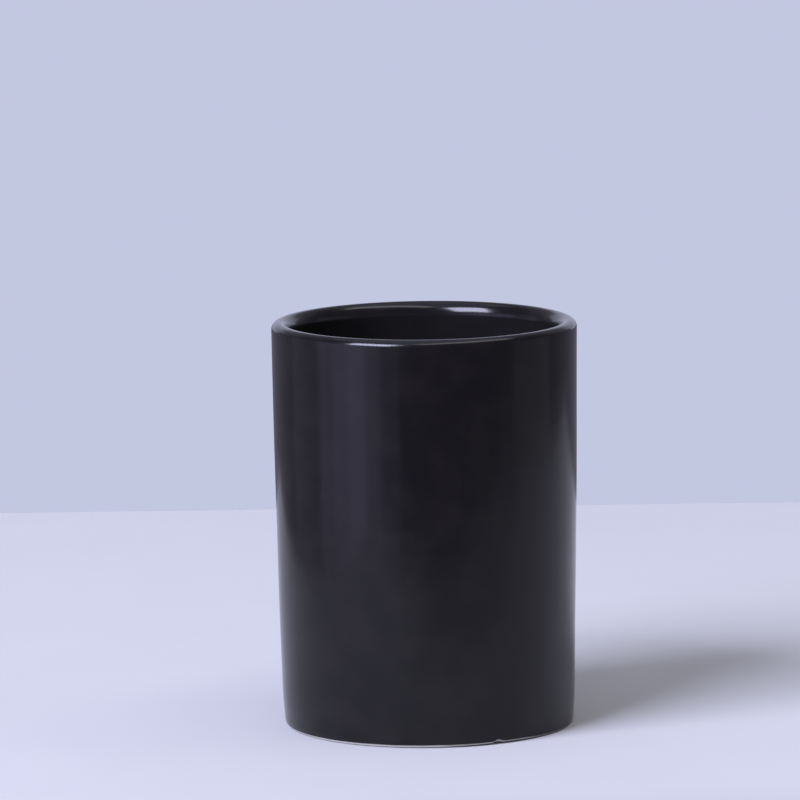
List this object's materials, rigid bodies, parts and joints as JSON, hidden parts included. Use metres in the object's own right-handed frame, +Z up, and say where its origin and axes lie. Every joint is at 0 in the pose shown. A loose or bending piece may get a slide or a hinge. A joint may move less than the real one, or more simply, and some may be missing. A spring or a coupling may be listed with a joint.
{
  "type": "candle jar",
  "caption": "Empty straight-sided ceramic candle jar with a full round rim, satin black glaze inside and out, and a bare clay foot.",
  "frame": {"origin": "centre of the foot ring, in the plane of the table", "axes": "+Z up along the jar's axis, towards the mouth; -Y towards the front; the small nick in the lower edge of the glaze is 28 degrees from -Y towards +X"},
  "size_m": [0.075, 0.075, 0.1],
  "materials": {
    "bare_clay": null,
    "outer_glaze": "satin black glaze, opaque",
    "liner_glaze": "satin black glaze, opaque"
  },
  "bodies": {
    "root": {"clay_body": "bare_clay", "outer_glaze": "outer_glaze", "liner_glaze": "liner_glaze"}
  },
  "joints": []
}
